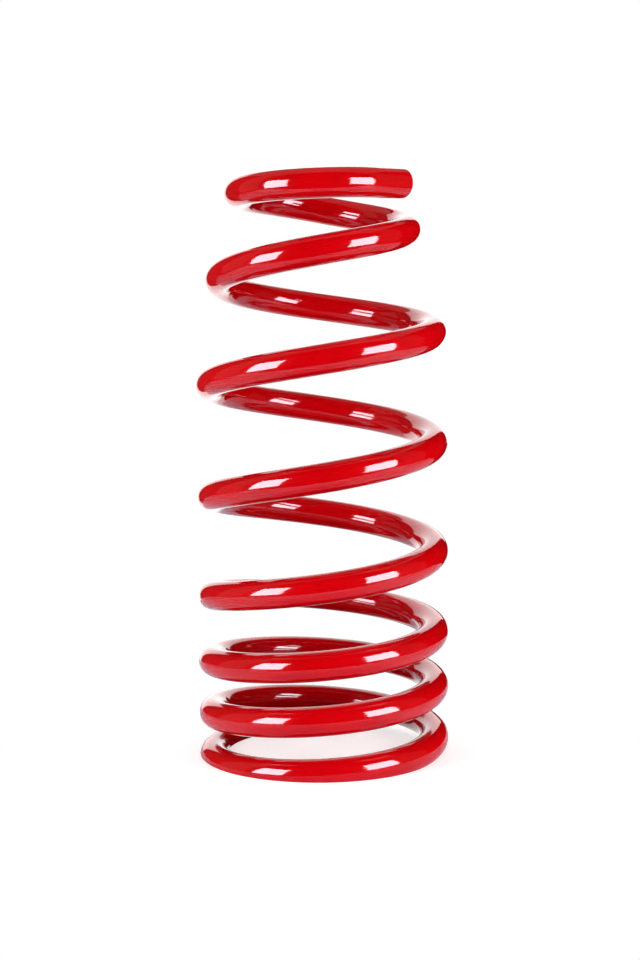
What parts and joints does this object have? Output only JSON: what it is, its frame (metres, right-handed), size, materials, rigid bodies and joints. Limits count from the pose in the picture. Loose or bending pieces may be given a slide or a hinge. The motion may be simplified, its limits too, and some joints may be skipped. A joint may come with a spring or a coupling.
{
  "type": "helical spring",
  "caption": "Red coated steel compression coil spring for a vehicle suspension, with close lower coils, wide middle coils, a narrowed top coil and a ground flat bottom end.",
  "frame": {"origin": "on the coil axis, in the plane of the ground bottom face", "axes": "+Z along the coil axis towards the narrow top coil; -Y is the side that the picture shows; the tip of the ground end lies towards +Y"},
  "size_m": [0.1221, 0.1222, 0.2817],
  "materials": {
    "red_coating": "gloss coating"
  },
  "bodies": {
    "root": {"coil_spring": "red_coating"}
  },
  "joints": []
}
